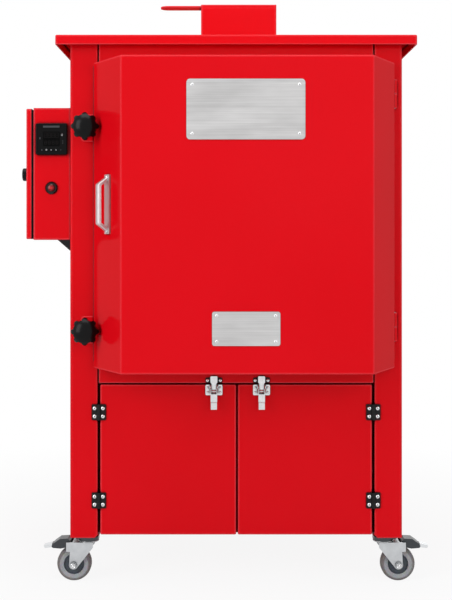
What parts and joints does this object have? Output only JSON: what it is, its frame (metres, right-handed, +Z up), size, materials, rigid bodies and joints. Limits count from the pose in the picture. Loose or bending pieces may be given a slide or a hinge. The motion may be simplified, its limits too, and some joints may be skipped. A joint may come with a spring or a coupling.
{
  "type": "ceramic kiln",
  "caption": "Front-loading electric kiln on castors: brick-lined chamber with a clamped hinged door, chimney damper, side control box and a cupboard below.",
  "frame": {"origin": "middle of the bounding box's bottom, on the floor", "axes": "+Z up, the doors face -Y, the control box is on the -X side"},
  "size_m": [0.9456, 0.9434, 1.3735],
  "materials": {
    "red_powder_coat": "gloss powder coat",
    "firebrick": "porous brick",
    "door_brick": "porous brick and fibre",
    "white_rope": "woven rope",
    "galvanised": "zinc plated",
    "bare_steel": "oiled",
    "element_alloy": "oxidised wire",
    "sheath": "fired sheath",
    "satin_aluminium": "satin",
    "black_plastic": "moulded",
    "black_gloss": "moulded",
    "grey_plastic": "moulded",
    "lamp": "clear lens in a dark ring",
    "black_rubber": "extruded",
    "black_paint": "satin",
    "tyre": "rubber on a grey core",
    "zinc_casting": "zinc plated",
    "castor_metal": "zinc plated"
  },
  "bodies": {
    "cabinet": {"side_casing_left": "red_powder_coat", "side_casing_right": "red_powder_coat", "front_plate": "red_powder_coat", "back_panel": "red_powder_coat", "roof_tray": "red_powder_coat", "kiln_deck": "galvanised", "cupboard_floor": "red_powder_coat", "lining_left": "firebrick", "lining_right": "firebrick", "lining_back": "firebrick", "lining_floor": "firebrick", "lining_roof": "firebrick", "heating_elements": "element_alloy", "thermocouple": "sheath", "door_hinge_pins": "bare_steel", "latch_keepers": "black_paint", "cupboard_hinge_plates": "black_paint", "chimney": "red_powder_coat", "control_box": "red_powder_coat", "control_box_gussets": "black_paint", "temperature_controller": "black_plastic", "pilot_lamp": "lamp", "switchgear": "grey_plastic", "cable_gland": "black_plastic", "castor_mounts": "castor_metal"},
    "main_door": {"door_shell": "red_powder_coat", "door_back_frame": "red_powder_coat", "door_insulation": "door_brick", "door_gasket": "white_rope", "door_handle": "satin_aluminium", "nameplates": "satin_aluminium"},
    "damper": {"chimney_damper": "red_powder_coat"},
    "box_lid": {"control_box_lid": "red_powder_coat", "lid_gasket": "black_rubber"},
    "lid_lock": {"lid_lock": "black_plastic"},
    "clamp_washer_lower": {"clamp_washer_lower": "galvanised"},
    "clamp_knob_lower": {"clamp_knob_lower": "black_plastic"},
    "clamp_washer_upper": {"clamp_washer_upper": "galvanised"},
    "clamp_knob_upper": {"clamp_knob_upper": "black_plastic"},
    "controller_key_set": {"controller_key_set": "black_gloss"},
    "controller_key_down": {"controller_key_down": "black_gloss"},
    "controller_key_up": {"controller_key_up": "black_gloss"},
    "cupboard_door_left": {"cupboard_door_left": "red_powder_coat", "cupboard_hinge_leaves_left": "black_paint", "latch_base_left": "zinc_casting"},
    "latch_lever_left": {"latch_lever_left": "zinc_casting"},
    "latch_hook_left": {"latch_hook_left": "zinc_casting"},
    "castor_fork_left": {"castor_fork_left": "castor_metal"},
    "brake_pedal_left": {"brake_pedal_left": "black_paint"},
    "wheel_front_left": {"wheel_front_left": "tyre"},
    "wheel_rear_left": {"wheel_rear_left": "tyre"},
    "cupboard_door_right": {"cupboard_door_right": "red_powder_coat", "cupboard_hinge_leaves_right": "black_paint", "latch_base_right": "zinc_casting"},
    "latch_lever_right": {"latch_lever_right": "zinc_casting"},
    "latch_hook_right": {"latch_hook_right": "zinc_casting"},
    "castor_fork_right": {"castor_fork_right": "castor_metal"},
    "brake_pedal_right": {"brake_pedal_right": "black_paint"},
    "wheel_front_right": {"wheel_front_right": "tyre"},
    "wheel_rear_right": {"wheel_rear_right": "tyre"}
  },
  "joints": [
    {"name": "door_swing", "type": "hinge", "parent": "cabinet", "child": "main_door", "pos_m": [0.38475, -0.32825, 0.855], "axis": [0, 0, 1], "range_deg": [0, 110]},
    {"name": "damper_slide", "type": "slide", "parent": "cabinet", "child": "damper", "axis": [-1, 0, 0], "range_m": [0, 0.14]},
    {"name": "box_lid_swing", "type": "hinge", "parent": "cabinet", "child": "box_lid", "pos_m": [-0.44625, 0.07375, 0.9485], "axis": [0, 0, -1], "range_deg": [0, 120]},
    {"name": "lid_lock_turn", "type": "hinge", "parent": "box_lid", "child": "lid_lock", "pos_m": [-0.46075, -0.28225, 0.948], "axis": [1, 0, 0], "range_deg": [0, 90]},
    {"name": "clamp_washer_lower_slide", "type": "slide", "parent": "main_door", "child": "clamp_washer_lower", "axis": [0, -1, 0], "range_m": [0, 0.014]},
    {"name": "clamp_knob_lower_turn", "type": "hinge", "parent": "clamp_washer_lower", "child": "clamp_knob_lower", "pos_m": [-0.31625, -0.37825, 0.591], "axis": [0, -1, 0], "range_deg": [0, 2880]},
    {"name": "clamp_washer_upper_slide", "type": "slide", "parent": "main_door", "child": "clamp_washer_upper", "axis": [0, -1, 0], "range_m": [0, 0.014]},
    {"name": "clamp_knob_upper_turn", "type": "hinge", "parent": "clamp_washer_upper", "child": "clamp_knob_upper", "pos_m": [-0.31625, -0.37825, 1.052], "axis": [0, -1, 0], "range_deg": [0, 2880]},
    {"name": "controller_key_set_press", "type": "slide", "parent": "cabinet", "child": "controller_key_set", "axis": [0, 1, 0], "range_m": [0, 0.00054], "stiffness_N_per_m": 300},
    {"name": "controller_key_down_press", "type": "slide", "parent": "cabinet", "child": "controller_key_down", "axis": [0, 1, 0], "range_m": [0, 0.00054], "stiffness_N_per_m": 300},
    {"name": "controller_key_up_press", "type": "slide", "parent": "cabinet", "child": "controller_key_up", "axis": [0, 1, 0], "range_m": [0, 0.00054], "stiffness_N_per_m": 300},
    {"name": "cupboard_door_left_swing", "type": "hinge", "parent": "cabinet", "child": "cupboard_door_left", "pos_m": [-0.292, -0.32225, 0.2905], "axis": [0, 0, -1], "range_deg": [0, 120]},
    {"name": "latch_lever_left_swing", "type": "hinge", "parent": "cupboard_door_left", "child": "latch_lever_left", "pos_m": [-0.02725, -0.32925, 0.459], "axis": [-1, 0, 0], "range_deg": [0, 100]},
    {"name": "latch_hook_left_pivot", "type": "hinge", "parent": "latch_lever_left", "child": "latch_hook_left", "pos_m": [-0.02725, -0.32445, 0.449], "axis": [-1, 0, 0], "range_deg": [-100, 0]},
    {"name": "castor_fork_left_swivel", "type": "hinge", "parent": "cabinet", "child": "castor_fork_left", "pos_m": [-0.32125, -0.26825, 0.092], "axis": [0, 0, 1], "continuous": true},
    {"name": "wheel_front_left_roll", "type": "hinge", "parent": "castor_fork_left", "child": "wheel_front_left", "pos_m": [-0.35425, -0.26825, 0.04], "axis": [0, 1, 0], "continuous": true},
    {"name": "brake_pedal_left_press", "type": "hinge", "parent": "castor_fork_left", "child": "brake_pedal_left", "pos_m": [-0.36725, -0.26825, 0.086], "axis": [0, -1, 0], "range_deg": [0, 14]},
    {"name": "wheel_rear_left_roll", "type": "hinge", "parent": "cabinet", "child": "wheel_rear_left", "pos_m": [-0.32125, 0.38675, 0.04], "axis": [1, 0, 0], "continuous": true},
    {"name": "cupboard_door_right_swing", "type": "hinge", "parent": "cabinet", "child": "cupboard_door_right", "pos_m": [0.3395, -0.32225, 0.2905], "axis": [0, 0, 1], "range_deg": [0, 120]},
    {"name": "latch_lever_right_swing", "type": "hinge", "parent": "cupboard_door_right", "child": "latch_lever_right", "pos_m": [0.08225, -0.32925, 0.459], "axis": [-1, 0, 0], "range_deg": [0, 100]},
    {"name": "latch_hook_right_pivot", "type": "hinge", "parent": "latch_lever_right", "child": "latch_hook_right", "pos_m": [0.08225, -0.32445, 0.449], "axis": [-1, 0, 0], "range_deg": [-100, 0]},
    {"name": "castor_fork_right_swivel", "type": "hinge", "parent": "cabinet", "child": "castor_fork_right", "pos_m": [0.36875, -0.26825, 0.092], "axis": [0, 0, 1], "continuous": true},
    {"name": "wheel_front_right_roll", "type": "hinge", "parent": "castor_fork_right", "child": "wheel_front_right", "pos_m": [0.40175, -0.26825, 0.04], "axis": [0, 1, 0], "continuous": true},
    {"name": "brake_pedal_right_press", "type": "hinge", "parent": "castor_fork_right", "child": "brake_pedal_right", "pos_m": [0.41475, -0.26825, 0.086], "axis": [0, 1, 0], "range_deg": [0, 14]},
    {"name": "wheel_rear_right_roll", "type": "hinge", "parent": "cabinet", "child": "wheel_rear_right", "pos_m": [0.36875, 0.38675, 0.04], "axis": [1, 0, 0], "continuous": true}
  ],
  "couplings": [
    {"joint": "clamp_washer_lower_slide", "follows": "clamp_knob_lower_turn", "m_per_rad": 0.00027852},
    {"joint": "clamp_washer_upper_slide", "follows": "clamp_knob_upper_turn", "m_per_rad": 0.00027852},
    {"joint": "latch_hook_left_pivot", "follows": "latch_lever_left_swing", "ratio": -1},
    {"joint": "latch_hook_right_pivot", "follows": "latch_lever_right_swing", "ratio": -1}
  ]
}
